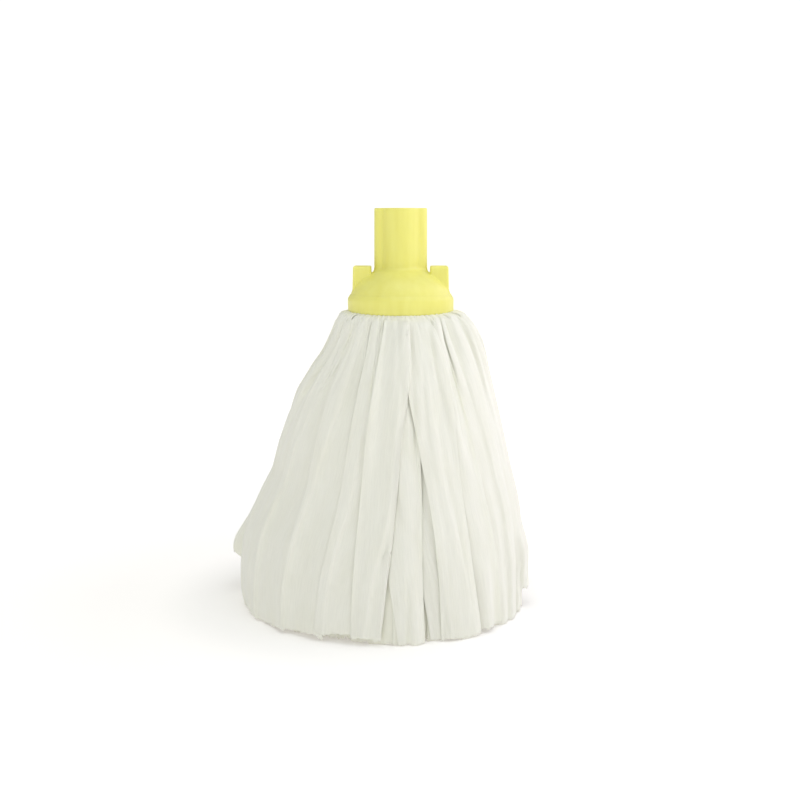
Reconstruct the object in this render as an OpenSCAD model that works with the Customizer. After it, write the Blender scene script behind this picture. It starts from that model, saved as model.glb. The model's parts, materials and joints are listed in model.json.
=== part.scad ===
/* [Overall] */
// Height of the mop head standing on its strips, from the floor to the mouth of the handle bore
total_h = 313; // [300:1:330]
// Number of strip tails in the outer ring
outer_n = 24; // [24]
// Number of strip tails in the middle ring
middle_n = 12; // [12]
// Number of strip tails in the core ring
core_n = 6; // [6]

/* [Handle tube] */
// Diameter of the blind bore that takes the handle
bore_d = 25; // [22:0.1:25.4]
// Depth of the handle bore
bore_depth = 50; // [44:1:50]
// Outer radius of the round middle of the tube
tube_r = 15; // [15:0.1:15.6]
// Width of the tube across its two side lobes
tube_w = 42.4; // [41:0.1:43]
// Front to back thickness of the side lobes
lobe_t = 12.4; // [10:0.1:14]
// Height of the tube above the foot of its lobes
tube_h = 52; // [50:1:52]

/* [Dome and rim] */
// Outer radius of the rim band
rim_r = 41.9; // [41.5:0.1:43]
// Height of the rim band
rim_h = 10.4; // [9:0.1:12]
// Radius of the dome at its foot
dome_a = 40; // [39:0.1:40]
// Rise of the dome
dome_b = 24.5; // [24:0.1:25]
// Wall thickness of the moulding
wall = 2.4; // [2:0.1:2.6]
// Height of the rim's lower edge above the floor
rim_z = 232.4; // [232.4]

/* [Latch ears] */
// Distance from the axis to the inner wall of an ear
ear_in = 23.3; // [23:0.1:24]
// Distance from the axis to the outer wall of an ear
ear_out = 38.4; // [38:0.1:39]
// Front to back width of an ear
ear_w = 20; // [18:0.5:22]
// Height of the top of an ear above the floor
ear_top = 267.6; // [266:0.1:269]

/* [Clamp plug] */
// Radius of the clamping plate
plate_r = 22; // [20:0.5:22]
// Thickness of the clamping plate and its two arms
plate_t = 3; // [2.5:0.1:3.5]
// Width of each latch leg
leg_w = 10; // [8:0.5:10]

/* [Strips] */
// Thickness of the space that one crumpled strip tail takes up
tail_t = 7; // [6:0.1:7]
// Flat width of one strip
strip_w = 38; // [34:1:40]
// How far the skirt leans to the left, as a share of its flare
lean = 0.13; // [0:0.01:0.15]

/* [Hidden] */
ring_names = [
    "outer_strip_01", "outer_strip_02", "outer_strip_03", "outer_strip_04",
    "outer_strip_05", "outer_strip_06", "outer_strip_07", "outer_strip_08",
    "outer_strip_09", "outer_strip_10", "outer_strip_11", "outer_strip_12",
    "outer_strip_13", "outer_strip_14", "outer_strip_15", "outer_strip_16",
    "outer_strip_17", "outer_strip_18", "outer_strip_19", "outer_strip_20",
    "outer_strip_21", "outer_strip_22", "outer_strip_23", "outer_strip_24",
    "middle_strip_01", "middle_strip_02", "middle_strip_03", "middle_strip_04",
    "middle_strip_05", "middle_strip_06", "middle_strip_07", "middle_strip_08",
    "middle_strip_09", "middle_strip_10", "middle_strip_11", "middle_strip_12",
    "core_strip_01", "core_strip_02", "core_strip_03",
    "core_strip_04", "core_strip_05", "core_strip_06"
];

yellow = [0.93, 0.92, 0.50];
clear_white = [0.90, 0.90, 0.86];
white = [0.95, 0.95, 0.91];
cream = [0.92, 0.92, 0.87];

dome_z = rim_z + rim_h - 0.5;
bore_z = total_h - bore_depth;
floor_t = 2.6;
slot_in = ear_in + 3.2;
slot_out = ear_out - 3.2;
ledge_in = slot_in + 4.5;
ledge_top = 261.6;

// Point on the dome's outline, shrunk by s, at angle t above its foot
function dome_pt(s, t) = [(dome_a - s) * cos(t), dome_z + (dome_b - s) * sin(t)];

// Height above the floor is used in every module, and this puts the origin at the mouth of the bore
module from_mouth() { translate([0, 0, -total_h]) children(); }

// Plan of the tube: a round middle and two round-ended lobes
module tube_plan() {
    circle(r = tube_r, $fn = 96);
    square([tube_w - lobe_t, lobe_t], center = true);
    for (s = [-1, 1]) translate([s * (tube_w - lobe_t) / 2, 0]) circle(d = lobe_t, $fn = 64);
}

// Plan of one ear: a rounded rectangle between its inner and outer walls
module ear_plan() {
    r = 4;
    translate([(ear_in + ear_out) / 2, 0]) {
        square([ear_out - ear_in, ear_w - 2 * r], center = true);
        square([ear_out - ear_in - 2 * r, ear_w], center = true);
        for (x = [-1, 1], y = [-1, 1])
            translate([x * ((ear_out - ear_in) / 2 - r), y * (ear_w / 2 - r)]) circle(r = r, $fn = 48);
    }
}

// Space under the dome, as a solid of revolution
module dome_cavity() {
    rotate_extrude($fn = 120)
        polygon(concat(
            [[0, rim_z - 1], [rim_r - wall - 0.3, rim_z - 1]],
            [for (t = [0 : 6 : 84]) dome_pt(wall, t)],
            [[0, dome_z + dome_b - wall]]));
}

module socket() {
    color(yellow) from_mouth()
    difference() {
        union() {
            // rim band and dome
            rotate_extrude($fn = 120)
                polygon(concat(
                    [[0, rim_z], [rim_r - 0.9, rim_z], [rim_r, rim_z + 0.9],
                     [rim_r, rim_z + rim_h - 1.4], [rim_r - 0.8, rim_z + rim_h]],
                    [for (t = [6 : 6 : 84]) dome_pt(0, t)],
                    [[0, dome_z + dome_b]]));
            // tube with its side lobes
            translate([0, 0, total_h - tube_h]) linear_extrude(height = tube_h) tube_plan();
            // lower end of the bore's wall, inside the dome
            translate([0, 0, bore_z - floor_t]) cylinder(r = tube_r, h = 6, $fn = 96);
            // two latch ears
            for (s = [0, 180]) rotate([0, 0, s])
                translate([0, 0, dome_z]) linear_extrude(height = ear_top - dome_z) ear_plan();
        }
        // hollow of the dome, around the bore's closed end
        difference() {
            dome_cavity();
            translate([0, 0, bore_z - floor_t]) cylinder(r = tube_r, h = 30, $fn = 96);
        }
        // handle bore
        translate([0, 0, bore_z]) cylinder(d = bore_d, h = bore_depth + 1, $fn = 96);
        // latch windows through the ears, with a ledge for the hook
        for (s = [0, 180]) rotate([0, 0, s]) {
            translate([slot_in, -leg_w / 2 - 1, dome_z - 2]) cube([ledge_in - slot_in, leg_w + 2, 60]);
            translate([slot_in, -leg_w / 2 - 1, ledge_top]) cube([slot_out - slot_in, leg_w + 2, 30]);
        }
    }
}

module clamp_plug() {
    color(clear_white) from_mouth() {
        union() {
            // plate with a cone-shaped nose that spreads the strips
            rotate_extrude($fn = 96)
                polygon([[0, rim_z - 12], [6, rim_z - 12], [plate_r - 3, rim_z - 2],
                         [plate_r, rim_z], [plate_r, rim_z + plate_t], [0, rim_z + plate_t]]);
            // centre post up to the closed end of the bore
            translate([0, 0, rim_z]) cylinder(r = 6, h = bore_z - floor_t - rim_z - 0.2, $fn = 64);
            for (s = [0, 180]) rotate([0, 0, s]) {
                // arm
                translate([10, -leg_w / 2, rim_z]) cube([slot_in + 4 - 10, leg_w, plate_t]);
                // latch leg
                translate([slot_in + 0.5, -leg_w / 2, rim_z]) cube([3.5, leg_w, ledge_top + 3.2 - rim_z]);
                // hook over the ledge
                translate([slot_in + 3.5, leg_w / 2, ledge_top + 0.2]) rotate([90, 0, 0])
                    linear_extrude(height = leg_w) polygon([[0, 0], [4, 0], [0.5, 3], [0, 3]]);
            }
        }
    }
}

module strip_heads() {
    color(cream) from_mouth()
    difference() {
        rotate_extrude($fn = 96)
            polygon(concat(
                [[6.4, rim_z + plate_t + 0.3], [plate_r + 0.4, rim_z + plate_t + 0.3],
                 [plate_r + 0.4, rim_z - 5.6], [rim_r - wall - 1.4, rim_z + 1.6]],
                [for (t = [0 : 6 : 60]) dome_pt(wall + 0.5, t)],
                [[tube_r + 0.4, dome_pt(wall + 0.5, 66)[1]], [tube_r + 0.4, bore_z - floor_t - 0.4],
                 [6.4, bore_z - floor_t - 0.4]]));
        for (s = [0, 180]) rotate([0, 0, s])
            translate([15, -leg_w / 2 - 0.4, rim_z - 10]) cube([slot_in + 4.4 - 15, leg_w + 0.8, 50]);
    }
}

// Centre lines of the three rings of tails, as radius and height, from the hinge down to the floor
outer_line = [[38, 227.5], [46, 220], [60, 200], [74, 170], [86, 130], [97, 87], [108, 42], [110.5, 0]];
middle_line = [[27, 218.5], [35, 211], [49, 191], [62, 161], [74, 121], [84.5, 80], [95, 38], [98, 0]];
core_line = [[14, 210], [20, 205], [31, 186], [42, 156], [52, 117], [60, 76], [67, 36], [69, 0]];

// A centre line leaned to one side for a tail at azimuth a
function leaned(line, a) = [for (p = line)
    [line[0][0] + (p[0] - line[0][0]) * (1 - lean * cos(a)), p[1]]];

// Outward normal of a centre line at its point i
function normal(line, i) =
    let (n = len(line), a = line[max(0, i - 1)], b = line[min(n - 1, i + 1)],
         d = b - a, l = norm(d))
    i == n - 1 ? [1, 0] : [-d[1] / l, d[0] / l];

// Side view of one tail: an even thickness about its centre line, with a round top about the hinge
function tail_side(line, t) =
    let (n = len(line), nn = normal(line, 0), top = atan2(nn[1], nn[0]))
    concat(
        [for (i = [0 : n - 1]) line[i] + normal(line, i) * t / 2],
        [for (i = [n - 1 : -1 : 0]) line[i] - normal(line, i) * t / 2],
        [for (k = [5 : -1 : 1]) line[0] + [cos(top + 30 * k), sin(top + 30 * k)] * t / 2]);

// One tail at azimuth a in a ring of n: its side view, cut to its own share of the ring
module tail(line, n, gap, a) {
    h = 180 / n;
    e = gap / 2 / cos(h);
    x0 = (e + 0.5) / tan(h);
    x1 = (strip_w / 2 + e) / tan(h);
    rotate([0, 0, a])
    intersection() {
        rotate([90, 0, 0]) translate([0, 0, -60]) linear_extrude(height = 120)
            polygon(tail_side(leaned(line, a), tail_t));
        translate([0, 0, -1]) linear_extrude(height = 260)
            polygon([[x0, -0.5], [x1, -strip_w / 2], [x1 + 200, -strip_w / 2],
                     [x1 + 200, strip_w / 2], [x1, strip_w / 2], [x0, 0.5]]);
    }
}

module outer_strip(i) { color(white) from_mouth() tail(outer_line, outer_n, 1.0, i * 360 / outer_n); }
module middle_strip(i) { color(cream) from_mouth() tail(middle_line, middle_n, 2.4, (i + 0.5) * 360 / middle_n); }
module core_strip(i) { color(cream) from_mouth() tail(core_line, core_n, 4.4, (i + 0.5) * 360 / core_n); }

socket();
clamp_plug();
strip_heads();
for (i = [0 : 23]) outer_strip(i);
for (i = [0 : 11]) middle_strip(i);
for (i = [0 : 5]) core_strip(i);
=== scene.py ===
import json
import math

import bmesh
import bpy
import numpy as np
from mathutils import Matrix, Vector


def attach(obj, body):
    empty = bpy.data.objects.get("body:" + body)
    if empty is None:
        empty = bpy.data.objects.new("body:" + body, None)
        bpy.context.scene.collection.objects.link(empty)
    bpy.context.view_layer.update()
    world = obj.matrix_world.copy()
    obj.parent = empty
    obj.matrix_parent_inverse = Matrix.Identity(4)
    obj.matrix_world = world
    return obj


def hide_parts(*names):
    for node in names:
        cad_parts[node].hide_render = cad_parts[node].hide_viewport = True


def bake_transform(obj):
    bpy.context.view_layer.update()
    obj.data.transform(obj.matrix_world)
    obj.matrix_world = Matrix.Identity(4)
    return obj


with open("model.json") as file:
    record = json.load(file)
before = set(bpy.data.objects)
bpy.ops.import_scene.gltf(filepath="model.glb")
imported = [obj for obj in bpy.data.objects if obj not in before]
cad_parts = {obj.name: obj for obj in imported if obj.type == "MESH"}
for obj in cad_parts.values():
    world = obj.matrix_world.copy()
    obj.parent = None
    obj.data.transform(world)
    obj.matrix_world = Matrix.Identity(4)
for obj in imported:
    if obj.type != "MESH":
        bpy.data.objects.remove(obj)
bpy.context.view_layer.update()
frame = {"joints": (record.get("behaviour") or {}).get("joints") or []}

scene = bpy.context.scene

# ---------------------------------------------------------------- units and small helpers
# Geometry is worked out in millimetres above the floor and put into the row frame by to_row.
FLOOR = 313.0


def to_row(p):
    p = np.asarray(p, float)
    q = p.copy()
    q[..., 2] -= FLOOR
    return q / 1000.0


def smooth01(t):
    t = np.clip(t, 0, 1)
    return t * t * (3 - 2 * t)


def grid_mesh(name, P, uv=None, closed_u=False):
    """A mesh from an array of points (rows, columns, 3) in millimetres above the floor."""
    nv, nu = P.shape[:2]
    co = to_row(P).reshape(-1, 3)
    i = np.arange(nv - 1)[:, None]
    j = np.arange(nu if closed_u else nu - 1)[None, :]
    a = i * nu + j
    b = i * nu + (j + 1) % nu
    faces = np.stack([a, b, b + nu, a + nu], -1).reshape(-1, 4)
    me = bpy.data.meshes.new(name)
    me.from_pydata(co.tolist(), [], faces.tolist())
    if uv is not None:
        layer = me.uv_layers.new(name="UVMap")
        loops = faces.ravel()
        layer.data.foreach_set("uv", uv.reshape(-1, 2)[loops].astype(np.float32).ravel())
    ob = bpy.data.objects.new(name, me)
    scene.collection.objects.link(ob)
    return ob


def mesh_from(name, V, F):
    me = bpy.data.meshes.new(name)
    me.from_pydata(to_row(V).tolist(), [], [list(map(int, f)) for f in F])
    me.validate()
    ob = bpy.data.objects.new(name, me)
    scene.collection.objects.link(ob)
    return ob


def shade_smooth(ob):
    ob.data.polygons.foreach_set("use_smooth", [True] * len(ob.data.polygons))
    ob.data.update()


# ---------------------------------------------------------------- camera, light and floor
def pitched_camera():
    cam = bpy.data.cameras.new("camera")
    ob = bpy.data.objects.new("camera", cam)
    scene.collection.objects.link(ob)
    pitch = math.radians(8.94)
    ob.location = (0.0, -0.894, (302.9 - FLOOR) / 1000)
    ob.rotation_euler = (math.pi / 2 - pitch, 0, 0)
    cam.sensor_width = 36
    cam.lens = 1137 * 36 / 800
    cam.shift_x = -0.7 / 800
    cam.clip_start, cam.clip_end = 0.05, 50
    scene.camera = ob
    return ob


pitched_camera()
scene.view_settings.view_transform = "Standard"
scene.view_settings.look = "None"
scene.view_settings.exposure = 0.0
scene.view_settings.gamma = 1.0


def area_light(name, loc, target, size, power, color=(1, 1, 1), size_y=None):
    li = bpy.data.lights.new(name, "AREA")
    li.energy = power
    li.color = color
    li.shape = "RECTANGLE" if size_y else "SQUARE"
    li.size = size
    if size_y:
        li.size_y = size_y
    ob = bpy.data.objects.new(name, li)
    ob.location = loc
    d = Vector(target) - Vector(loc)
    ob.rotation_euler = d.to_track_quat("-Z", "Y").to_euler()
    scene.collection.objects.link(ob)
    return ob


MID = (0, 0, -0.2)
area_light("key_right", (1.05, -0.1, 0.45), MID, 0.9, 3.15, (1.0, 0.932, 1.04))
area_light("right_rim", (0.75, 0.55, 0.35), MID, 0.7, 1.3, (1.0, 0.87, 1.06))
area_light("top_soft", (0.15, -0.35, 1.1), MID, 1.0, 5.2, (0.972, 1.0, 0.972))
area_light("front_fill", (-0.25, -1.35, 0.15), MID, 1.3, 1.75, (1.0, 0.99, 0.98))

WORLD = 0.51
world = bpy.data.worlds.new("studio")
scene.world = world
world.use_nodes = True
wn = world.node_tree.nodes
wn["Background"].inputs[0].default_value = (0.985, 1.0, 0.985, 1)
wn["Background"].inputs[1].default_value = WORLD
lp = wn.new("ShaderNodeLightPath")
bright = wn.new("ShaderNodeMath")
bright.operation = "MULTIPLY_ADD"
bright.inputs[1].default_value = 1.1 - WORLD
bright.inputs[2].default_value = WORLD
world.node_tree.links.new(lp.outputs["Is Camera Ray"], bright.inputs[0])
world.node_tree.links.new(bright.outputs[0], wn["Background"].inputs[1])


# ---------------------------------------------------------------- materials
def new_mat(name):
    m = bpy.data.materials.new(name)
    m.use_nodes = True
    nt = m.node_tree
    bsdf = nt.nodes["Principled BSDF"]
    return m, nt, bsdf


def link(nt, a, b):
    nt.links.new(a, b)


def node(nt, kind, **props):
    n = nt.nodes.new(kind)
    for k, v in props.items():
        setattr(n, k, v)
    return n


def ramp(nt, src, stops):
    r = node(nt, "ShaderNodeValToRGB")
    els = r.color_ramp.elements
    while len(els) < len(stops):
        els.new(0.5)
    for e, (p, c) in zip(els, stops):
        e.position = p
        e.color = (*c, 1) if len(c) == 3 else c
    link(nt, src, r.inputs[0])
    return r.outputs[0]


def cloth_material(name, tint, streak=1.0):
    """White spunlaced non-woven: lengthwise fibres, a faint crossing web and small soft creases."""
    m, nt, b = new_mat(name)
    uv = node(nt, "ShaderNodeUVMap", uv_map="UVMap")

    def mapped(sx, sy, off=0.0):
        mp = node(nt, "ShaderNodeMapping")
        mp.inputs["Scale"].default_value = (sx, sy, 1)
        mp.inputs["Location"].default_value = (off, off * 1.7, 0)
        link(nt, uv.outputs[0], mp.inputs[0])
        return mp.outputs[0]

    fib = node(nt, "ShaderNodeTexNoise")
    fib.inputs["Scale"].default_value = 1.0
    fib.inputs["Detail"].default_value = 5.0
    fib.inputs["Roughness"].default_value = 0.62
    link(nt, mapped(1500, 60), fib.inputs["Vector"])
    web = node(nt, "ShaderNodeTexNoise")
    web.inputs["Scale"].default_value = 1.0
    web.inputs["Detail"].default_value = 3.0
    web.inputs["Distortion"].default_value = 0.7
    link(nt, mapped(420, 260, 3.1), web.inputs["Vector"])
    crease = node(nt, "ShaderNodeTexNoise")
    crease.inputs["Scale"].default_value = 1.0
    crease.inputs["Detail"].default_value = 4.0
    link(nt, mapped(190, 16, 7.7), crease.inputs["Vector"])
    cloud = node(nt, "ShaderNodeTexNoise")
    cloud.inputs["Scale"].default_value = 1.0
    cloud.inputs["Detail"].default_value = 3.0
    link(nt, mapped(60, 22, 1.3), cloud.inputs["Vector"])

    # colour: cloth weight varies a little along the fibres and in soft clouds
    mix1 = node(nt, "ShaderNodeMix", data_type="RGBA", blend_type="MIX")
    lo = tuple(c * 0.955 for c in tint)
    link(nt, ramp(nt, fib.outputs["Fac"], [(0.36, (0, 0, 0)), (0.60, (1, 1, 1))]), mix1.inputs["Factor"])
    mix1.inputs["A"].default_value = (*lo, 1)
    mix1.inputs["B"].default_value = (*tint, 1)
    mix2 = node(nt, "ShaderNodeMix", data_type="RGBA", blend_type="MULTIPLY")
    mix2.inputs["Factor"].default_value = 1.0
    link(nt, mix1.outputs["Result"], mix2.inputs["A"])
    link(nt, ramp(nt, cloud.outputs["Fac"], [(0.30, (0.975, 0.975, 0.955)), (0.62, (1, 1, 1))]), mix2.inputs["B"])
    link(nt, mix2.outputs["Result"], b.inputs["Base Color"])
    link(nt, ramp(nt, web.outputs["Fac"], [(0.2, (0.82, 0.82, 0.82)), (0.8, (0.95, 0.95, 0.95))]), b.inputs["Roughness"])

    b1 = node(nt, "ShaderNodeBump")
    b1.inputs["Strength"].default_value = 0.35 * streak
    b1.inputs["Distance"].default_value = 0.00025
    link(nt, fib.outputs["Fac"], b1.inputs["Height"])
    b2 = node(nt, "ShaderNodeBump")
    b2.inputs["Strength"].default_value = 0.25
    b2.inputs["Distance"].default_value = 0.00030
    link(nt, web.outputs["Fac"], b2.inputs["Height"])
    link(nt, b1.outputs[0], b2.inputs["Normal"])
    b3 = node(nt, "ShaderNodeBump")
    b3.inputs["Strength"].default_value = 0.34 * streak
    b3.inputs["Distance"].default_value = 0.0016
    link(nt, crease.outputs["Fac"], b3.inputs["Height"])
    link(nt, b2.outputs[0], b3.inputs["Normal"])
    link(nt, b3.outputs[0], b.inputs["Normal"])
    b.inputs["Specular IOR Level"].default_value = 0.18
    b.inputs["Sheen Weight"].default_value = 0.25
    b.inputs["Sheen Roughness"].default_value = 0.55
    b.inputs["Subsurface Weight"].default_value = 0.22
    b.inputs["Subsurface Radius"].default_value = (1.0, 0.98, 0.86)
    b.inputs["Subsurface Scale"].default_value = 0.002
    return m


def plastic_material(name, base, dark, rough=0.42, sss=0.25):
    """Satin injection moulding: a very fine spark-eroded grain and faint flow streaks, with convex edges painted
    lighter as a painted highlight.
    """
    m, nt, b = new_mat(name)
    tc = node(nt, "ShaderNodeTexCoord")
    grain = node(nt, "ShaderNodeTexNoise")
    grain.inputs["Scale"].default_value = 2600.0
    grain.inputs["Detail"].default_value = 2.0
    link(nt, tc.outputs["Object"], grain.inputs["Vector"])
    mp = node(nt, "ShaderNodeMapping")
    mp.inputs["Scale"].default_value = (160, 160, 22)
    link(nt, tc.outputs["Object"], mp.inputs[0])
    flow = node(nt, "ShaderNodeTexNoise")
    flow.inputs["Scale"].default_value = 1.0
    flow.inputs["Detail"].default_value = 3.0
    link(nt, mp.outputs[0], flow.inputs["Vector"])
    geo = node(nt, "ShaderNodeNewGeometry")
    # painted highlight: convex edges, found by Pointiness, are mixed towards a lighter colour
    edge = ramp(nt, geo.outputs["Pointiness"], [(0.50, (0, 0, 0)), (0.58, (1, 1, 1))])
    mixc = node(nt, "ShaderNodeMix", data_type="RGBA")
    link(nt, ramp(nt, flow.outputs["Fac"], [(0.3, (0, 0, 0)), (0.7, (1, 1, 1))]), mixc.inputs["Factor"])
    mixc.inputs["A"].default_value = (*dark, 1)
    mixc.inputs["B"].default_value = (*base, 1)
    edge_highlight = node(nt, "ShaderNodeMix", data_type="RGBA")
    scaled = node(nt, "ShaderNodeMath", operation="MULTIPLY")
    link(nt, edge, scaled.inputs[0])
    scaled.inputs[1].default_value = 0.35
    link(nt, scaled.outputs[0], edge_highlight.inputs["Factor"])
    link(nt, mixc.outputs["Result"], edge_highlight.inputs["A"])
    edge_highlight.inputs["B"].default_value = (*[min(1.0, c * 1.05 + 0.02) for c in base], 1)
    link(nt, edge_highlight.outputs["Result"], b.inputs["Base Color"])
    link(nt, ramp(nt, flow.outputs["Fac"], [(0.25, (rough - 0.05,) * 3), (0.75, (rough + 0.07,) * 3)]), b.inputs["Roughness"])
    bump = node(nt, "ShaderNodeBump")
    bump.inputs["Strength"].default_value = 0.12
    bump.inputs["Distance"].default_value = 0.00012
    link(nt, grain.outputs["Fac"], bump.inputs["Height"])
    bump2 = node(nt, "ShaderNodeBump")
    bump2.inputs["Strength"].default_value = 0.10
    bump2.inputs["Distance"].default_value = 0.0004
    link(nt, flow.outputs["Fac"], bump2.inputs["Height"])
    link(nt, bump.outputs[0], bump2.inputs["Normal"])
    link(nt, bump2.outputs[0], b.inputs["Normal"])
    b.inputs["Specular IOR Level"].default_value = 0.55
    b.inputs["Subsurface Weight"].default_value = sss
    b.inputs["Subsurface Radius"].default_value = (1.0, 0.95, 0.45)
    b.inputs["Subsurface Scale"].default_value = 0.004
    return m


def srgb(r, g, b):
    f = lambda c: c / 12.92 if c <= 0.04045 else ((c + 0.055) / 1.055) ** 2.4
    return tuple(f(x / 255) for x in (r, g, b))


YELLOW = plastic_material("yellow_moulding", srgb(240, 236, 132), srgb(235, 230, 121), rough=0.42)
NATURAL = plastic_material("natural_moulding", srgb(236, 236, 226), srgb(229, 229, 218), rough=0.5, sss=0.35)
CLOTH = cloth_material("strip_cloth", srgb(245, 245, 233))
# painted shade: the inner copy of the cloth is a little darker and yellower, for the strips lying underneath and the
# heads inside the dome
CLOTH_SHADED_INNER = cloth_material("strip_cloth_inner", srgb(243, 243, 229))

fm, fnt, fb = new_mat("floor_paper")
fb.inputs["Base Color"].default_value = (0.66, 0.675, 0.70, 1)
fb.inputs["Roughness"].default_value = 0.9
fb.inputs["Specular IOR Level"].default_value = 0.1
fn = node(fnt, "ShaderNodeTexNoise")
fn.inputs["Scale"].default_value = 40
link(fnt, ramp(fnt, fn.outputs["Fac"], [(0.3, (0.655, 0.67, 0.695)), (0.7, (0.665, 0.68, 0.705))]), fb.inputs["Base Color"])
# The floor glows, more towards the distance, to stay white; its warm emission colour also tints the painted contact
# shadow below.
fb.inputs["Emission Color"].default_value = (1.0, 0.945, 0.865, 1)
tc = node(fnt, "ShaderNodeTexCoord")
fmap = node(fnt, "ShaderNodeMapping")
# the glow is centred 22 mm to the left of the mop, so the painted contact shadow lies to the left, as the key light's
# shadow does
fmap.inputs["Location"].default_value = (0.022, 0, 0.313)
link(fnt, tc.outputs["Object"], fmap.inputs[0])
far = node(fnt, "ShaderNodeVectorMath", operation="LENGTH")
link(fnt, fmap.outputs[0], far.inputs[0])
glow = node(fnt, "ShaderNodeMapRange")
glow.inputs["From Min"].default_value = 0.22
glow.inputs["From Max"].default_value = 0.75
glow.inputs["To Min"].default_value = 0.50
glow.inputs["To Max"].default_value = 0.8
link(fnt, far.outputs["Value"], glow.inputs["Value"])
# painted contact shadow: the floor's glow is lowered by 0.1 near the mop and fades out by 185 mm
painted_shadow_dip = node(fnt, "ShaderNodeMapRange", interpolation_type="SMOOTHSTEP")
painted_shadow_dip.inputs["From Min"].default_value = 0.120
painted_shadow_dip.inputs["From Max"].default_value = 0.185
painted_shadow_dip.inputs["To Min"].default_value = -0.10
painted_shadow_dip.inputs["To Max"].default_value = 0.0
link(fnt, far.outputs["Value"], painted_shadow_dip.inputs["Value"])
glow_with_painted_shadow = node(fnt, "ShaderNodeMath", operation="ADD")
link(fnt, glow.outputs["Result"], glow_with_painted_shadow.inputs[0])
link(fnt, painted_shadow_dip.outputs["Result"], glow_with_painted_shadow.inputs[1])
link(fnt, glow_with_painted_shadow.outputs[0], fb.inputs["Emission Strength"])

floor_pts = np.array([[[-9000.0, -9000, 0], [9000, -9000, 0]], [[-9000, 9000, 0], [9000, 9000, 0]]])
floor = grid_mesh("floor", floor_pts - np.array([0, 0, 0.05]))
floor.data.materials.append(fm)

# ---------------------------------------------------------------- the skirt's outline
# Outer radius of the skirt at each height above the floor, on the left, the right and the front and back
HEIGHTS = [0, 12, 25, 45, 58, 70, 80, 90, 110, 130, 150, 170, 185, 200, 215, 224, 231, 236]
LEFT = [127, 130, 131, 130, 127, 124.5, 119, 114.5, 104, 99.4, 92.2, 83.4, 72.6, 61.4, 54, 51.4, 49.5, 46]
RIGHT = [99, 98.5, 98, 98, 97.5, 96.5, 95.6, 94, 89, 84.2, 79.2, 74.4, 70.4, 67, 61.5, 57, 53.5, 50]
FRONT = [113, 113, 112, 110, 107.5, 105, 102, 99, 94, 89, 83.5, 77, 71, 64, 56, 51.5, 47, 43]


def outline(z, phi):
    """phi is the azimuth from the front (-Y), positive to the right, in radians."""
    s = np.sin(phi)
    f = np.interp(z, HEIGHTS, FRONT)
    r = np.interp(z, HEIGHTS, RIGHT)
    l = np.interp(z, HEIGHTS, LEFT)
    return f + (r - f) * np.clip(s, 0, 1) ** 1.5 + (l - f) * np.clip(-s, 0, 1) ** 1.5


def place(phi, r, z):
    return np.stack([r * np.sin(phi), -r * np.cos(phi), z], -1)


# ---------------------------------------------------------------- strips
WIDTH = 38.0
NU = 23
STEP = 2.5
PHI_BINS = 1080
Z_BINS = 130  # 2 mm each


class Heights:
    """The outermost cloth laid so far, as a radius over azimuth and height."""

    def __init__(self, inset):
        z = (np.arange(Z_BINS) + 0.5) * 2.0
        phi = (np.arange(PHI_BINS) + 0.5) / PHI_BINS * 2 * np.pi
        deep = inset * (0.55 + 0.45 * smooth01((225 - z) / 60))
        self.r = outline(z[None, :], phi[:, None]) - deep[None, :]
        self.r[:, z > 231] = 30.0
        self.smooth()

    def smooth(self):
        """A rounded upper envelope, so that cloth bridges the edges underneath as it would."""
        e = self.r.copy()
        for k in (1, 2, 3):
            e = np.maximum(e, np.maximum(np.roll(self.r, k, 0), np.roll(self.r, -k, 0)))
        for _ in range(5):
            e = (np.roll(e, 1, 0) + 2 * e + np.roll(e, -1, 0)) / 4
            e[:, 1:-1] = (e[:, :-2] + 2 * e[:, 1:-1] + e[:, 2:]) / 4
        self.s = e

    def look(self, phi, z):
        a = (phi / (2 * np.pi) * PHI_BINS - 0.5) % PHI_BINS
        b = np.clip(z / 2.0 - 0.5, 0, Z_BINS - 1.001)
        i, j = np.floor(a).astype(int), np.floor(b).astype(int)
        fa, fb_ = a - i, b - j
        i1 = (i + 1) % PHI_BINS
        i = i % PHI_BINS
        r = self.s
        return (r[i, j] * (1 - fa) * (1 - fb_) + r[i1, j] * fa * (1 - fb_)
                + r[i, j + 1] * (1 - fa) * fb_ + r[i1, j + 1] * fa * fb_)

    def add(self, P):
        q = P
        for _ in range(2):
            m = (q[:, 1:] + q[:, :-1]) / 2
            n = np.empty((q.shape[0], q.shape[1] * 2 - 1, 3))
            n[:, 0::2], n[:, 1::2] = q, m
            q = n
        m = (q[1:] + q[:-1]) / 2
        n = np.empty((q.shape[0] * 2 - 1, q.shape[1], 3))
        n[0::2], n[1::2] = q, m
        q = n.reshape(-1, 3)
        q = q[q[:, 2] < 231]
        phi = np.arctan2(q[:, 0], -q[:, 1])
        r = np.hypot(q[:, 0], q[:, 1])
        i = np.floor(phi / (2 * np.pi) * PHI_BINS).astype(int) % PHI_BINS
        j = np.clip(np.floor(q[:, 2] / 2.0).astype(int), 0, Z_BINS - 1)
        for di in (-1, 0, 1):
            for dj in (-1, 0, 1):
                np.maximum.at(self.r, ((i + di) % PHI_BINS, np.clip(j + dj, 0, Z_BINS - 1)), r)
        self.smooth()


def soften(y, times):
    y = y.copy()
    for _ in range(times):
        y[1:-1] = (y[:-2] + 2 * y[1:-1] + y[2:]) / 4
    return y


TABLE_Z = np.array([5, 50, 100, 150, 200, 228.0])


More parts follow.
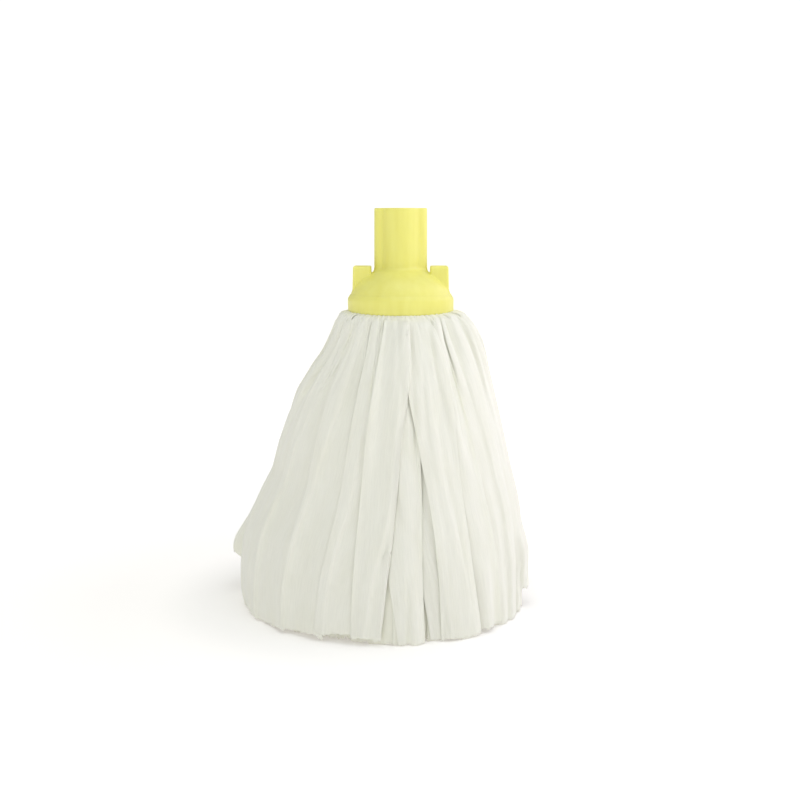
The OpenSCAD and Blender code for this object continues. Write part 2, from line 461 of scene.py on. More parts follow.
def centre_path(left, right, rim, rim_span, z_end, inset, inner=False, kick=None):
    """Down a strip: out of the rim's mouth, over the shoulder, down the skirt.
    left and right are the edges' azimuths in degrees at the heights of TABLE_Z from the top down."""
    up = 6.0 * abs(math.sin(math.radians(rim))) ** 2
    head = [(35.0, 246.0), (36.0, 240.0), (36.6, 235.4), (38.4, 231.3), (42.4, 230.3 + 0.2 * up), (45.8, 229.8 + up), (48.2, 229.0 + 0.8 * up)]
    if inner:
        head = [(31.0, 246.0), (31.6, 240.0), (32.4, 235.0), (34.4, 231.0), (37.6, 228.2)]
    zs = np.arange(228, z_end - 0.01, -1.5)
    if zs[-1] > z_end + 0.2:
        zs = np.append(zs, z_end)
    lf = np.interp(zs, TABLE_Z, left[::-1])
    rt = np.interp(zs, TABLE_Z, right[::-1])
    lf, rt = soften(lf, 60), soften(rt, 60)
    phi = np.radians((lf + rt) / 2)
    r = outline(zs, phi) - inset(zs)
    if kick is not None:
        r = r + kick(zs)
    span = np.radians(rt - lf) * (r + 2)
    P = [(math.radians(rim), a, b, rim_span) for a, b in head] + list(zip(phi, r, zs, span))
    P = np.array(P)
    for k in range(4):
        P[:, k] = soften(P[:, k], 4 if k != 2 else 3)
    n0 = len(head) + 6
    for k in (0, 3):
        P[1:n0 + 8, k] = soften(P[:n0 + 9, k], 14)[1:-1]
    d = np.hypot(np.diff(P[:, 1]), np.diff(P[:, 2]))
    s = np.concatenate([[0], np.cumsum(d)])
    n = int(round(s[-1] / STEP)) + 1
    q = np.linspace(0, s[-1], n)
    return q, *[np.interp(q, s, P[:, k]) for k in range(4)]


def cross_sections(q, room, rng, pleats=4.5, knife=0, flat=0.0):
    """For each row, the strip's own width laid as folds into the room there: lateral place, depth and layer of each column.
    knife is +1 for a knife pleat with its fold on the right, -1 on the left, 0 for loose folds."""
    m = NU * 6 if not knife else NU * 12
    t = (np.arange(m) + 0.5) / m
    L = q[-1]
    ph = rng.uniform(0, 2 * np.pi, 5)
    drift = rng.normal(0, 1.0, 5)
    modes = [(pleats, 1.0, 0, 0.22), (pleats * 0.58, 1.0, 0.10, 0.60), (1.6, 0.9, 0.35, 1.2), (0.9, 0.5, 0.55, 1.5)]
    out_x, out_d, out_l = np.zeros((len(q), NU)), np.zeros((len(q), NU)), np.zeros((len(q), NU))
    edges = np.linspace(0, 1, NU)
    rho = 0.75
    gathered = np.ones(len(q))
    for k, s in enumerate(q):
        u = s / L
        least = 0.80 - 0.25 * smooth01((u - 0.12) / 0.45)
        if flat:
            least = 0.80 + (flat - 0.80) * smooth01((u - 0.10) / 0.25)
        want = min(0.9965, max(room[k] / WIDTH, least))
        gathered[k] = min(1.0, room[k] / WIDTH / want)
        if knife:
            gathered[k] = 1.0
            want = min(0.9965, room[k] / WIDTH)
            face = min(room[k], WIDTH * 0.995)
            back = (WIDTH - face - 2 * math.pi * rho) / 2
            firm = float(smooth01((back - 0.1) / 4.5))
            back = max(back, 0.1)
            turn = math.pi * rho
            w = t * WIDTH
            over = smooth01((w - face + rho) / turn)
            under = smooth01((w - face + rho - turn - back) / turn)
            th = np.pi * (under - over) * firm
            lay = (2.0 - over - under) * np.where(w < face, smooth01((w - face + back + 5) / 4), 1.0) * firm
            slack = math.acos(max(-1, min(1, want)))
            th = th - (1 - firm) * slack * 1.375 * np.sin(2 * np.pi * np.clip((t - 0.45) / 0.55, 0, 1))
            th = th + 0.10 * np.sin(2 * np.pi * 1.7 * t + ph[0] + drift[0] * u) * smooth01((face - t * WIDTH) / 6)
        else:
            lay = np.full(m, 0.0)
            theta = np.zeros_like(t)
            for i, (n, amp, a, b_) in enumerate(modes):
                w = amp * smooth01((b_ + 0.16 - u) / 0.30) if i == 0 else amp * smooth01((u - a + 0.12) / 0.24) * smooth01((b_ + 0.12 - u) / 0.24)
                theta += w * np.sin(2 * np.pi * n * t + ph[i] + drift[i] * u * 1.6)
            theta += 0.08 * np.sin(2 * np.pi * 7.0 * t + ph[4] + 2.0 * drift[4] * u)
            base = theta / max(1e-6, np.abs(theta).max())
            lo, hi = 0.0, 2.35
            for _ in range(26):
                mid = (lo + hi) / 2
                if np.mean(np.cos(base * mid)) > want:
                    lo = mid
                else:
                    hi = mid
            th = base * (lo + hi) / 2
        x = np.concatenate([[0], np.cumsum(np.cos(th))]) / m * WIDTH
        d = np.concatenate([[0], np.cumsum(np.sin(th))]) / m * WIDTH
        g = np.linspace(0, 1, len(x))
        if not knife:
            line = np.polyfit(x, d, 1)
            d = d - np.polyval(line, x)
        ext = (x.min() + x.max()) / 2
        x, d = np.interp(edges, g, x) - ext, np.interp(edges, g, d)
        ly = np.interp(edges, t, lay)
        if knife:
            x = x * min(1.15, room[k] / max(np.ptp(x), 1e-6))
        if knife < 0:
            x, d, ly = -x[::-1], d[::-1], ly[::-1]
        out_x[k], out_d[k], out_l[k] = x * gathered[k], d, ly
    ease = 45 if knife else 8
    return soften(out_x, ease), soften(out_d, ease), soften(out_l, ease), gathered


def relax(P, pinned, laid, ceiling, end_row_z, steps, gap, pull, gathered, bend=0.010):
    """The cloth step: even lengths along and across, a little bending stiffness, gravity, the floor and the cloth already laid."""
    nv, nu = P.shape[:2]
    du = (WIDTH / (nu - 1) * gathered)[:, None, None]
    rest_v = STEP
    w = np.ones((nv, nu, 1))
    w[:pinned] = 0.0
    target = P.copy()

    def pair(a, b, rest, k):
        d = P[b] - P[a]
        l = np.linalg.norm(d, axis=-1, keepdims=True) + 1e-9
        ws = w[a] + w[b]
        c = np.where(ws > 0, (l - rest) / np.maximum(ws, 1e-9), 0) * d / l * k
        P[a] += c * w[a]
        P[b] -= c * w[b]

    S = np.s_
    dg = np.hypot(du, rest_v)
    for it in range(steps):
        P[..., 2] -= 0.04 * w[..., 0]
        P += (target - P) * 0.012 * w
        for par in (0, 1):
            pair(S[par:nv - 1:2, :], S[par + 1:nv:2, :], rest_v, 0.9)
            pair(S[:, par:nu - 1:2], S[:, par + 1:nu:2], du, 0.9)
            pair(S[par:nv - 1:2, :-1], S[par + 1:nv:2, 1:], dg[par:nv - 1:2], 0.2)
            pair(S[par:nv - 1:2, 1:], S[par + 1:nv:2, :-1], dg[par:nv - 1:2], 0.2)
        for par in range(4):
            a, b = S[:, par:nu - 2:4], S[:, par + 2:nu:4]
            if P[b].shape == P[a].shape:
                pair(a, b, 2 * du, bend)
        for par in range(4):
            a, b = S[par:nv - 2:4, :], S[par + 2:nv:4, :]
            if P[b].shape == P[a].shape:
                pair(a, b, 2 * rest_v, 0.40)
        P[..., 2] = np.maximum(P[..., 2], end_row_z)
        r = np.hypot(P[..., 0], P[..., 1])
        phi = np.arctan2(P[..., 0], -P[..., 1])
        low = laid.look(phi, P[..., 2]) + gap
        high = ceiling(P[..., 2], phi)
        r = r - pull
        nr = np.where(P[..., 2] < 229, np.clip(r, low, np.maximum(high, low)), r)
        f = np.where(w > 0, (nr / np.maximum(r, 1e-6))[..., None], 1.0)
        P[..., :2] *= f
    return P


def denser(P, times=1):
    """Smooth in-between columns, by a four-point rule."""
    for _ in range(times):
        ext = np.concatenate([2 * P[:, :1] - P[:, 1:2], P, 2 * P[:, -1:] - P[:, -2:-1]], axis=1)
        mid = (-ext[:, :-3] + 9 * ext[:, 1:-2] + 9 * ext[:, 2:-1] - ext[:, 3:]) / 16
        out = np.empty((P.shape[0], P.shape[1] * 2 - 1, 3))
        out[:, 0::2], out[:, 1::2] = P, mid
        P = out
    return P


def value_noise(rng, shape, cells):
    """Smooth noise of mean 0 on a grid of the given shape, with cells = (rows, columns) per bump."""
    nr, nc = max(2, int(shape[0] / cells[0]) + 3), max(2, int(shape[1] / cells[1]) + 3)
    g = rng.normal(0, 1, (nr, nc))
    y = np.linspace(0, nr - 1.001, shape[0])
    x = np.linspace(0, nc - 1.001, shape[1])
    i, j = y.astype(int), x.astype(int)
    fy, fx = smooth01(y - i)[:, None], smooth01(x - j)[None, :]
    return (g[np.ix_(i, j)] * (1 - fy) * (1 - fx) + g[np.ix_(i + 1, j)] * fy * (1 - fx)
            + g[np.ix_(i, j + 1)] * (1 - fy) * fx + g[np.ix_(i + 1, j + 1)] * fy * fx)


def normals_of(P):
    dv = np.gradient(P, axis=0)
    du = np.gradient(P, axis=1)
    n = np.cross(du, dv)
    return n / np.maximum(np.linalg.norm(n, axis=-1, keepdims=True), 1e-9)


def strip_object(name, P, rng, mat, rough_end=1.0, thick=0.5, crease=0.10):
    nv, nu = P.shape[:2]
    fine = nu / 23.0
    # ragged cut end
    jag = (value_noise(rng, (2, nu), (1, 1.1))[0] * 0.50 + value_noise(rng, (2, nu), (1, 2.6 * fine))[0] * 0.35
           + value_noise(rng, (2, nu), (1, 9 * fine))[0] * 0.7)
    last = P[-1] - P[-2]
    last /= np.maximum(np.linalg.norm(last, axis=-1, keepdims=True), 1e-9)
    P[-1] += last * (np.clip(jag, -2, 2) * rough_end)[:, None]
    P[-2] += last * (np.clip(jag, -2, 2) * rough_end * 0.45)[:, None]
    # fine creases
    n = normals_of(P)
    h = value_noise(rng, (nv, nu), (10, 2.4 * fine)) * crease + value_noise(rng, (nv, nu), (20, 5 * fine)) * crease * 1.7
    fade = smooth01(np.arange(nv) / 10.0)[:, None]
    P = P + n * (h * fade)[..., None]
    P[..., 2] = np.maximum(P[..., 2], 0.35)
    du = WIDTH / (nu - 1)
    seg = np.linalg.norm(np.diff(P, axis=0), axis=-1).mean(axis=1)
    along = np.concatenate([[0], np.cumsum(seg)])
    u0, v0 = rng.uniform(0, 5, 2)
    uv = np.stack(np.broadcast_arrays(np.arange(nu)[None, :] * du / 1000 + u0, along[:, None] / 1000 + v0), -1)
    ob = grid_mesh(name, P, uv)
    mod = ob.modifiers.new("thickness", "SOLIDIFY")
    mod.thickness = thick / 1000
    mod.offset = 0.0
    mod.use_rim = True
    bpy.context.view_layer.update()
    dg = bpy.context.evaluated_depsgraph_get()
    me = bpy.data.meshes.new_from_object(ob.evaluated_get(dg))
    ob.modifiers.clear()
    ob.data = me
    me.materials.clear()
    me.materials.append(mat)
    shade_smooth(ob)
    flat = (WIDTH / 1000, float(along[-1]) / 1000)
    return ob, flat


# Outer ring, by azimuth from the front, positive to the right. Each strip has its left and right edge in degrees at the
# heights 228, 200, 150, 100, 50 and 5 mm, where it leaves the rim, the width it leaves it with, the height of its cut end,
# its place in the pile (0 lies deepest), and its folding.
LAY = {
    0: dict(l=(-6, -9, -14, -10, -4.5, -1), r=(13, 12, 9.6, 9.2, 8.6, 9.5), rim=4, span=11, end=2, lay=2, knife=0, flat=0.955, lift_r=0.1),
    15: dict(l=(2, -1, -2, 1, 8, 12.3), r=(17, 18, 19, 22, 27, 31), rim=13, span=9, end=2.5, lay=-1, inset=2.6, knife=0, flat=0.90, lift_l=-2.8),
    30: dict(l=(3, 1.5, 8.6, 13.4, 15.5, 16.5), r=(25, 30.5, 29, 29, 29.8, 33.5), rim=15, span=13.5, end=3, lay=3.5, knife=0, flat=0.94, lift_l=-1.6, lift_r=0.3),
    45: dict(l=(16, 16, 16, 19, 25, 28), r=(32, 34, 40, 43, 45.5, 47), rim=29, span=12, end=5, lay=3, knife=0),
    60: dict(l=(27, 27, 32, 37, 42, 43.5), r=(51, 56, 62, 64, 64, 63), rim=44, span=13, end=2, lay=2, knife=0),
    75: dict(l=(46, 47, 52, 55, 57, 57), r=(68, 77, 81, 79, 78, 74), rim=60, span=12, end=1.5, lay=1, inset=1.4, knife=0),
    90: dict(l=(62, 64, 69, 70, 71, 71), r=(84, 93, 99, 96, 94, 92), rim=77, span=11, end=18, lay=0, inset=0.8, flap=5.5, knife=0),
    105: dict(l=(78, 80, 84, 86, 86, 86), r=(101, 108, 114, 110, 107, 106), rim=93, span=11, end=3, lay=-2, inset=1.5, knife=0, flat=0.9),
    -15: dict(l=(-15, -15.5, -17, -17.5, -18, -18.5), r=(9, 6.2, 1.2, -2, -5, -7.5), rim=-4, span=15, end=6.5, lay=4, knife=1, lift_r=1.0, lift_l=-1.2),
    -30: dict(l=(-26, -24, -25.5, -27.5, -31, -33), r=(-4, -2, -3, -5, -11, -14), rim=-17, span=11, end=8, lay=3, knife=0),
    -45: dict(l=(-40, -42, -46, -46.5, -46.5, -47.5), r=(-18, -16, -18, -21, -27, -29), rim=-30, span=12, end=5, lay=2, knife=0),
    -60: dict(l=(-55, -57, -64, -65, -63.5, -64.5), r=(-33, -33, -37, -40, -44, -46), rim=-44, span=12, end=4, lay=1.5, inset=2.4, knife=0),
    -75: dict(l=(-71, -75, -84, -84, -80, -80.5), r=(-50, -51, -56, -58, -61, -63), rim=-60, span=12, end=2, lay=1, inset=2.0, knife=0),
    -90: dict(l=(-87, -92, -102, -102, -97, -98), r=(-66, -69, -76, -78, -78.5, -79), rim=-77, span=11, end=2, lay=0, inset=2.0, knife=0),
    -105: dict(l=(-102, -108, -120, -120, -112, -111), r=(-82, -86, -95, -96, -93, -92), rim=-92, span=10, end=35, lay=-1, inset=3.0, knife=0, flap=10.5),
    -120: dict(l=(-118, -124, -134, -134, -128, -127), r=(-98, -102, -110, -112, -110, -108), rim=-108, span=10, end=3, lay=-2, inset=3.6, knife=0),
}


def az_to_phi(az):
    return (az + 90.0 + 180) % 360 - 180   # the CAD azimuth, from +X, as the azimuth from the front


def lay_strip(sp, rng, lay, rows=1):
    """One strip: its path, its folds, then the cloth step against what lies beneath."""
    flap = sp.get("flap", 0.0)
    kick = (lambda z: flap * smooth01((74 - z) / 34.0)) if flap else None
    inner = sp.get("inner", False)
    if inner:
        inset = lambda z: sp["inset"] * (0.5 + 0.5 * smooth01((222 - z) / 60)) - sp.get("rise", 0.0) * smooth01((95 - z) / 40)
    else:
        inset = lambda z: (sp.get("inset", 1.2 + 0.8 * (4 - lay)) * (0.30 + 0.70 * smooth01((222 - z) / 60))
                           + sp.get("sink", 0.0) * smooth01((170 - z) / 70))
    q, phi, r, z, room = centre_path(sp["l"], sp["r"], sp["rim"], sp["span"], sp["end"], inset, inner, kick)
    knife = sp["knife"]
    x, d, ly, gathered = cross_sections(q, room, rng, 3.4 if not knife else 3.0, knife, sp.get("flat", 0.0))
    squeeze = ((0.30 + 0.70 * smooth01((233 - z) / 15)) * (1 - 0.30 * smooth01((z - 150) / 50)))[:, None]
    if inner:
        squeeze = squeeze * (1 - 0.5 * smooth01((60 - z) / 50))[:, None] * 0.8
    tilt = rng.normal(0, 0.03) * smooth01((225 - z) / 60)[:, None]
    half = np.maximum(np.abs(x).max(axis=1), 1)[:, None]
    down = smooth01((160 - z) / 90)[:, None]
    lift = (sp.get("lift_r", 0) * smooth01((x / half - 0.2) / 0.8) + sp.get("lift_l", 0) * smooth01((-x / half - 0.2) / 0.8)) * down
    dr, dz = np.gradient(r), np.gradient(z)
    l = np.hypot(dr, dz) + 1e-9
    nr, nz = (-dz / l)[:, None], (dr / l)[:, None]
    depth = d * squeeze + tilt * x + lift
    P = place(phi[:, None] + x / np.maximum(r, 28)[:, None], r[:, None] + nr * depth, z[:, None] + nz * depth)
    inside = (np.arange(len(z)) < np.argmax(r > 39.5))[:, None] & (z[:, None] > 232.6)
    rr = np.hypot(P[..., 0], P[..., 1])
    cap = np.where(inside, np.minimum(rr, 38.4), rr)
    P[..., :2] *= (cap / rr)[..., None]
    pinned = int(np.argmax(z < 230.0))
    edge = smooth01((np.abs(x) / half - 0.55) / 0.45)
    pull = np.where(lift > 0.05, 0.0, 0.03 + 0.09 * edge * smooth01((205 - z) / 30)[:, None]) * smooth01((226 - z) / 20)[:, None]
    top_r = (1.5 - (4 - lay) * 0.55 if not inner else -5.0 + sp.get("rise", 0.0)) + flap
    P = relax(P, pinned, laid, lambda zz, pp: outline(zz, pp) + top_r, 0.4, 80 if not inner else 40, gap=0.45 + 0.6 * ly, pull=pull, gathered=gathered)
    laid.add(P)
    return P


laid = Heights(12.0)
# the second ring lies just under the outer one: two strips to a node
middle = []
for i in range(12):
    phi0 = az_to_phi((i + 0.5) * 30.0)
    for side, off in (("a", -7.5), ("b", 7.5)):
        rng = np.random.default_rng(2000 + 2 * i + (off > 0))
        c = phi0 + off + rng.normal(0, 1.0, 6).cumsum() * 0.8
        half = np.array([7.0, 8.6, 11.0, 11.2, 10.4, 10.0])
        sp = dict(l=tuple(c - half), r=tuple(c + half), rim=phi0 + off, span=8.5, end=float(rng.uniform(0.8, 3.5)), knife=0,
                  inner=True, inset=8.0 + float(rng.uniform(0, 1.0)))
        if int(round(phi0 + off)) == -8 or int(round(phi0 + off)) == -7:
            sp.update(l=(-16, -16, -18, -18, -19, -19), r=(0, 0, 1, 1, 0.5, 0), inset=7.0, rise=3.2, end=1.6)
        P = lay_strip(sp, rng, 0)
        name = f"middle_strip_{i + 1:02d}"
        ob, size = strip_object(f"cloth_{name}{side}", P, np.random.default_rng(2900 + 2 * i + (off > 0)), CLOTH_SHADED_INNER)
        middle.append((ob, name, size, phi0))

order = []
for i in range(24):
    phi0 = az_to_phi(i * 15.0)
    rng = np.random.default_rng(100 + i)
    key = int(round(phi0))
    spec = LAY.get(key)
    if spec is None:
        c = phi0 + rng.normal(0, 1.4, 6).cumsum() * 0.7
        half = np.array([7.8, 10.0, 11.8, 11.2, 10.4, 10.0]) * rng.uniform(0.94, 1.10, 6)
        spec = dict(l=tuple(c - half), r=tuple(c + half), rim=phi0, span=10, end=float(rng.uniform(1.5, 9)),
                    lay=int(rng.integers(0, 5)), knife=0, flat=float(rng.uniform(0.88, 0.95)))
        spec.update(inset=1.0 + 0.45 * (4 - spec["lay"]))
    order.append((spec["lay"], i, phi0, spec))
order.sort(key=lambda o: (o[0], o[1]))

outer_strips = []
for lay, i, phi0, sp in order:
    P = lay_strip(sp, np.random.default_rng(500 + i), lay)
    name = f"outer_strip_{i + 1:02d}"
    ob, size = strip_object("cloth_" + name, denser(P, 1), np.random.default_rng(900 + i), CLOTH)
    outer_strips.append((ob, name, size, phi0))

# ---- core ring
def make_inner(n, phis, r_top, z_top, scale, inset, name_of, seed, shift):
    made = []
    for i, phi0 in enumerate(phis):
        rng = np.random.default_rng(seed + i)
        top = math.radians(phi0)
        end = top + math.radians(shift.get(int(round(phi0)), 0.0)) + rng.normal(0, 0.03)
        z_end = float(rng.uniform(1.5, 7))
        zs = np.arange(z_top - 6, z_end, -2.0)
        t = (z_top - 6 - zs) / (z_top - 6)
        phi = top + (end - top) * t
        r = (outline(zs, phi) - inset) * scale(zs)
        P0 = [(top, r_top - 3, z_top + 9), (top, r_top - 1, z_top + 4), (top, r_top + 2, z_top - 1)]
        Q = np.array(P0 + list(zip(phi, r, zs)))
        for _ in range(5):
            Q[1:-1] = (Q[:-2] + 2 * Q[1:-1] + Q[2:]) / 4
        s = np.concatenate([[0], np.cumsum(np.hypot(np.diff(Q[:, 1]), np.diff(Q[:, 2])))])
        q = np.linspace(0, s[-1], int(s[-1] / 3.0) + 1)
        phi, r, z = [np.interp(q, s, Q[:, k]) for k in range(3)]
        arc = 2 * np.pi / n * r
        room = np.minimum(arc * 0.9, WIDTH * 0.97)
        x, d, _, _ = cross_sections(q, room, rng)
        dr, dz = np.gradient(r), np.gradient(z)
        l = np.hypot(dr, dz) + 1e-9
        nr, nz = (-dz / l)[:, None], (dr / l)[:, None]
        d = np.clip(d, -3.2, 3.2) * (1 - 0.55 * smooth01((60 - z) / 50))[:, None]
        P = place(phi[:, None] + x / np.maximum(r, 12)[:, None], r[:, None] + nr * d, z[:, None] + nz * d)
        P[..., 2] = np.maximum(P[..., 2], 0.5)
        ob, size = strip_object("cloth_" + name_of(i), P, rng, CLOTH_SHADED_INNER, crease=0.15)
        made.append((ob, name_of(i), size, phi0))
    return made


core = make_inner(6, [az_to_phi((i + 0.5) * 60) for i in range(6)], 14, 210,
                  lambda z: np.clip(0.72 - 0.0009 * z, 0.3, 1), 16, lambda i: f"core_strip_{i + 1:02d}", 3000, {})

joints = {j["child"]: j for j in frame["joints"]}
for group, r_from, r_to in ((outer_strips, (38, 236), (47, 214)), (middle, (33, 232), (42, 208)), (core, (13, 216), (20, 198))):
    for ob, name, size, phi in group:
        a = math.radians(phi)
        s = place(np.array(a), np.array(float(r_from[0])), np.array(float(r_from[1])))
        e = place(np.array(a), np.array(float(r_to[0])), np.array(float(r_to[1])))
        tuple(to_row(s))
        tuple(to_row(e))
        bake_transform(ob)
        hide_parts(name)


# ---------------------------------------------------------------- mouldings, as smooth solids on a grid
def smin(a, b, k):
    h = np.clip(0.5 + 0.5 * (b - a) / k, 0, 1)
    return b + (a - b) * h - k * h * (1 - h)


def smax(a, b, k):
    return -smin(-a, -b, k)


def poly_sdf(pts, x, y):
    """Signed distance to a closed polygon, negative inside."""
    pts = np.asarray(pts, float)
    best = np.full(x.shape, 1e9)
    inside = np.zeros(x.shape, bool)
    for (x1, y1), (x2, y2) in zip(pts, np.roll(pts, -1, axis=0)):
        ex, ey = x2 - x1, y2 - y1
        wx, wy = x - x1, y - y1
        h = np.clip((wx * ex + wy * ey) / max(ex * ex + ey * ey, 1e-12), 0, 1)
        best = np.minimum(best, (wx - ex * h) ** 2 + (wy - ey * h) ** 2)
        c = (y1 > y) != (y2 > y)
        with np.errstate(divide="ignore", invalid="ignore"):
            xi = (x2 - x1) * (y - y1) / (y2 - y1) + x1
        inside ^= c & (x < xi)
    d = np.sqrt(best)
    return np.where(inside, -d, d)


def round_box(x, y, z, c, half, r):
    qx, qy, qz = np.abs(x - c[0]) - half[0] + r, np.abs(y - c[1]) - half[1] + r, np.abs(z - c[2]) - half[2] + r
    return np.sqrt(np.maximum(qx, 0) ** 2 + np.maximum(qy, 0) ** 2 + np.maximum(qz, 0) ** 2) + np.minimum(np.maximum(np.maximum(qx, qy), qz), 0) - r


def surface_nets(f, lo, hi, h):
    nx, ny, nz = [int(math.ceil((b - a) / h)) + 1 for a, b in zip(lo, hi)]
    X, Y, Z = np.meshgrid(*[lo[k] + h * np.arange(n) for k, n in enumerate((nx, ny, nz))], indexing="ij")
    F = f(X, Y, Z)
    inside = F < 0
    shape = (nx - 1, ny - 1, nz - 1)
    acc, cnt = np.zeros(shape + (3,)), np.zeros(shape)
    corners = [(i, j, k) for i in (0, 1) for j in (0, 1) for k in (0, 1)]

    def cut(c, A):
        return A[c[0]:c[0] + shape[0], c[1]:c[1] + shape[1], c[2]:c[2] + shape[2]]

    for a in corners:
        for ax in range(3):
            if a[ax]:
                continue
            b = list(a)
            b[ax] = 1
            fa, fb2 = cut(a, F), cut(b, F)
            sel = (fa < 0) != (fb2 < 0)
            t = np.where(sel, fa / np.where(sel, fa - fb2, 1), 0)
            for k in range(3):
                acc[..., k] += np.where(sel, a[k] + (t if k == ax else 0), 0)
            cnt += sel
    mask = cnt > 0
    idx = -np.ones(shape, int)
    idx[mask] = np.arange(mask.sum())
    base = np.argwhere(mask)
    V = (base + acc[mask] / cnt[mask][:, None]) * h + np.array(lo)
    faces = []
    for ax in range(3):
        o1, o2 = [(1, 2), (2, 0), (0, 1)][ax]
        n = [nx, ny, nz]
        sl0, sl1 = [slice(None)] * 3, [slice(None)] * 3
        sl0[ax], sl1[ax] = slice(0, n[ax] - 1), slice(1, n[ax])
        a, b = inside[tuple(sl0)], inside[tuple(sl1)]
        ch = np.argwhere(a != b)
        ok = (ch[:, o1] > 0) & (ch[:, o2] > 0) & (ch[:, o1] < n[o1] - 1) & (ch[:, o2] < n[o2] - 1)
        ch = ch[ok]
        flip = a[tuple(ch.T)]
        q = []
        for d1, d2 in ((1, 1), (0, 1), (0, 0), (1, 0)):
            c = ch.copy()
            c[:, o1] -= d1
            c[:, o2] -= d2
            q.append(idx[tuple(c.T)])
        q = np.stack(q, 1)
        q[~flip] = q[~flip][:, ::-1]
        faces.append(q)
    Fc = np.concatenate(faces)
    # settle each point on the surface
    for _ in range(4):
        e = 0.05
        f0 = f(V[:, 0], V[:, 1], V[:, 2])
        g = np.stack([f(V[:, 0] + e * (k == 0), V[:, 1] + e * (k == 1), V[:, 2] + e * (k == 2)) - f0 for k in range(3)], 1) / e
        V = V - np.clip(f0, -0.5 * h, 0.5 * h)[:, None] * g / np.maximum((g * g).sum(1), 0.2)[:, None]
    return V, Fc


DOME_Z = 242.3
BORE_Z = 263.0


def ellipse_pts(a, b, t0, t1, n):
    return [(a * math.cos(t), DOME_Z + b * math.sin(t)) for t in np.linspace(math.radians(t0), math.radians(t1), n)]


OUTER_PROFILE = ([(-5, 232.4), (40.3, 232.4), (41.0, 232.9), (41.4, 233.9), (41.5, 242.2), (41.2, 243.7), (40.3, 245.2), (39.5, 246.4)]
                 + ellipse_pts(39.6, 25.2, 10, 90, 24) + [(-5, 266.8)])
INNER_PROFILE = ([(-5, 228), (39.2, 228)] + ellipse_pts(37.6, 22.1, 0, 90, 24) + [(-5, 264.4)])


def socket_sdf(x, y, z):
    r = np.hypot(x, y)
    body = poly_sdf(OUTER_PROFILE, r, z)
    # tube: round middle and two round-ended lobes, with a little draft
    draft = (313 - z) * 0.004
    mid = r - 15.0 - draft
    ax = np.maximum(np.abs(x) - 15.0, 0)
    lobe = np.hypot(ax, y) - 5.5 - draft
    tube = smin(mid, lobe, 1.6)
    tube = smax(tube, z - 313.0, 1.0)
    tube = smax(tube, 250 - z, 0.5)
    body = smin(body, tube, 3.2)
    # ears
    lean = 268.6 - z
    ears = round_box(np.abs(x), y, z, (30.0 + lean * 0.010, 0, 250.5), (7.0 + 0.014 * lean, 10.0 + 0.02 * lean, 18.1), 1.4)
    ears = smax(ears, z - 268.6, 0.8)
    body = smin(body, smax(ears, 243 - z, 1.0), 1.2)
    # hollow, bore and latch windows
    cavity = poly_sdf(INNER_PROFILE, r, z)
    boss = smax(r - 15.0, 260.4 - z, 0.6)
    cavity = smax(cavity, -boss, 1.0)
    bore = np.maximum(r - 12.5 - np.clip(z - 312.0, 0, 1) * 0.8, BORE_Z - z)
    low = round_box(np.abs(x), y, z, (28.75, 0, 262), (2.25, 6.0, 30), 0.4)
    high = round_box(np.abs(x), y, z, (30.85, 0, 275.6), (4.35, 6.0, 14), 0.8)
    hollow = np.minimum(np.minimum(cavity, bore), np.minimum(low, high))
    return smax(body, -hollow, 0.5)


def plug_sdf(x, y, z):
    r = np.hypot(x, y)
    nose = poly_sdf([(-5, 220.4), (6, 220.4), (19, 230.4), (22, 232.4), (22, 235.4), (-5, 235.4)], r, z)
    post = smax(r - 6.0, np.maximum(z - 260.2, 232 - z), 0.5)
    arm = round_box(np.abs(x), y, z, (20.2, 0, 233.9), (10.2, 5, 1.5), 0.5)
    leg = round_box(np.abs(x), y, z, (28.75, 0, 248.6), (1.75, 5, 16.2), 0.5)
    hook = np.maximum(poly_sdf([(29.5, 261.8), (34.0, 261.8), (30.5, 264.8), (29.5, 264.8)], np.abs(x), z), np.abs(y) - 4.9)
    ribs = np.maximum(np.minimum(np.abs(x), np.abs(y)) - 0.9, poly_sdf([(-1, 232), (-1, 246), (6, 246), (20, 235.2), (20, 232)], r, z))
    return smin(smin(smin(nose, post, 1.2), smin(arm, leg, 1.2), 1.0), np.minimum(hook, ribs), 0.4)


V, F = surface_nets(socket_sdf, (-44.5, -44.5, 230.5), (44.5, 44.5, 315.0), 0.8)
socket = mesh_from("socket_moulding", V, F)
shade_smooth(socket)
socket.data.materials.append(YELLOW)
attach(socket, "head")
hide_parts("socket")

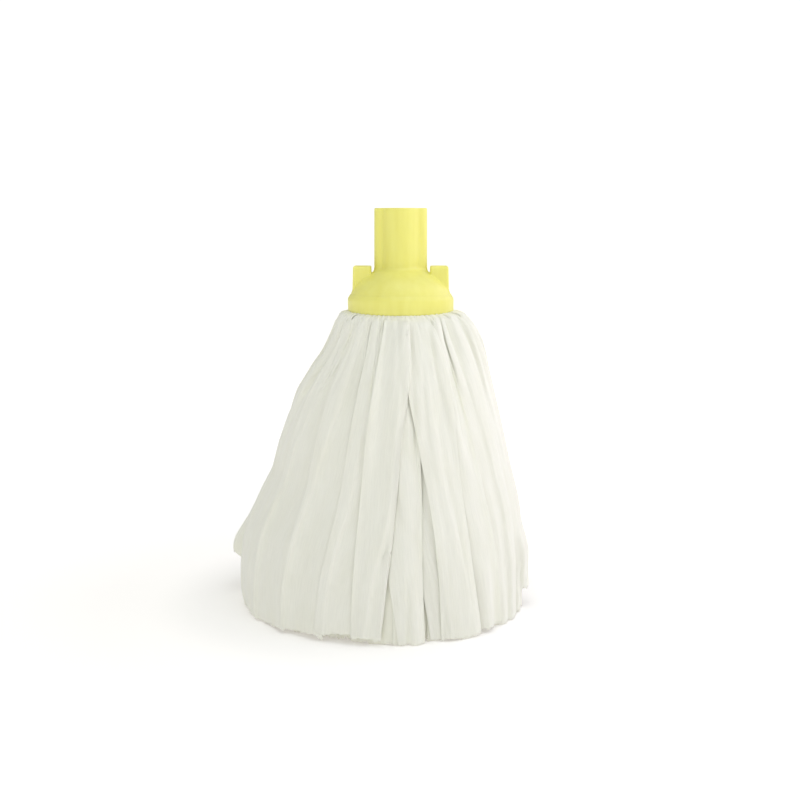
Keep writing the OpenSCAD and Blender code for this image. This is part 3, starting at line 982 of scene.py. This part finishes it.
V, F = surface_nets(plug_sdf, (-36, -24, 218.5), (36, 24, 267), 0.8)
plug = mesh_from("clamp_plug_moulding", V, F)
shade_smooth(plug)
plug.data.materials.append(NATURAL)
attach(plug, "head")
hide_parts("clamp_plug")

# the clamped middles of the strips: a pleated ring packed into the dome
nT, prof_pts = 360, []
ring = [(7.2, 236.0), (15, 236.0), (22.2, 236.0), (22.6, 230.5), (22.8, 227.6), (27, 229.0), (32, 231.0), (36, 233.2), (37.4, 236.5),
        (37.0, 242.5), (35.6, 247.0), (32.6, 252.5), (28, 256.6), (22, 259.6), (15.6, 260.6), (15.2, 259.8), (11, 259.8), (7.2, 259.8)]
th = np.arange(nT) / nT * 2 * np.pi
rng = np.random.default_rng(77)
pl = np.sin(th * 72 + 1.2 * np.sin(th * 5)) * 0.6 + np.sin(th * 31 + 0.7) * 0.35
P = np.zeros((len(ring) * 2, nT, 3))
rr = np.array(ring + [ring[0]])
k = np.linspace(0, len(ring), len(ring) * 2, endpoint=False)
pr = np.interp(k, np.arange(len(rr)), rr[:, 0])
pz = np.interp(k, np.arange(len(rr)), rr[:, 1])
cr, cz = pr.mean(), pz.mean()
amp = np.clip((pr - 16) / 8, 0, 1)
R = pr[:, None] + (pr - cr)[:, None] / np.hypot(pr - cr, pz - cz)[:, None] * pl[None, :] * amp[:, None]
Zz = pz[:, None] + (pz - cz)[:, None] / np.hypot(pr - cr, pz - cz)[:, None] * pl[None, :] * amp[:, None]
P = np.stack([R * np.cos(th), R * np.sin(th), Zz], -1)
P = np.concatenate([P, P[:1]], 0)
uv = np.stack(np.broadcast_arrays((th * 30 / 1000)[None, :], np.linspace(0, 0.09, P.shape[0])[:, None]), -1)
heads = grid_mesh("gathered_strip_heads", P, uv, closed_u=True)
shade_smooth(heads)
heads.data.materials.append(CLOTH_SHADED_INNER)
bm = bmesh.new()
bm.from_mesh(heads.data)
bmesh.ops.remove_doubles(bm, verts=bm.verts, dist=1e-5)
bmesh.ops.recalc_face_normals(bm, faces=bm.faces)
bm.to_mesh(heads.data)
bm.free()
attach(heads, "head")
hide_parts("strip_heads")
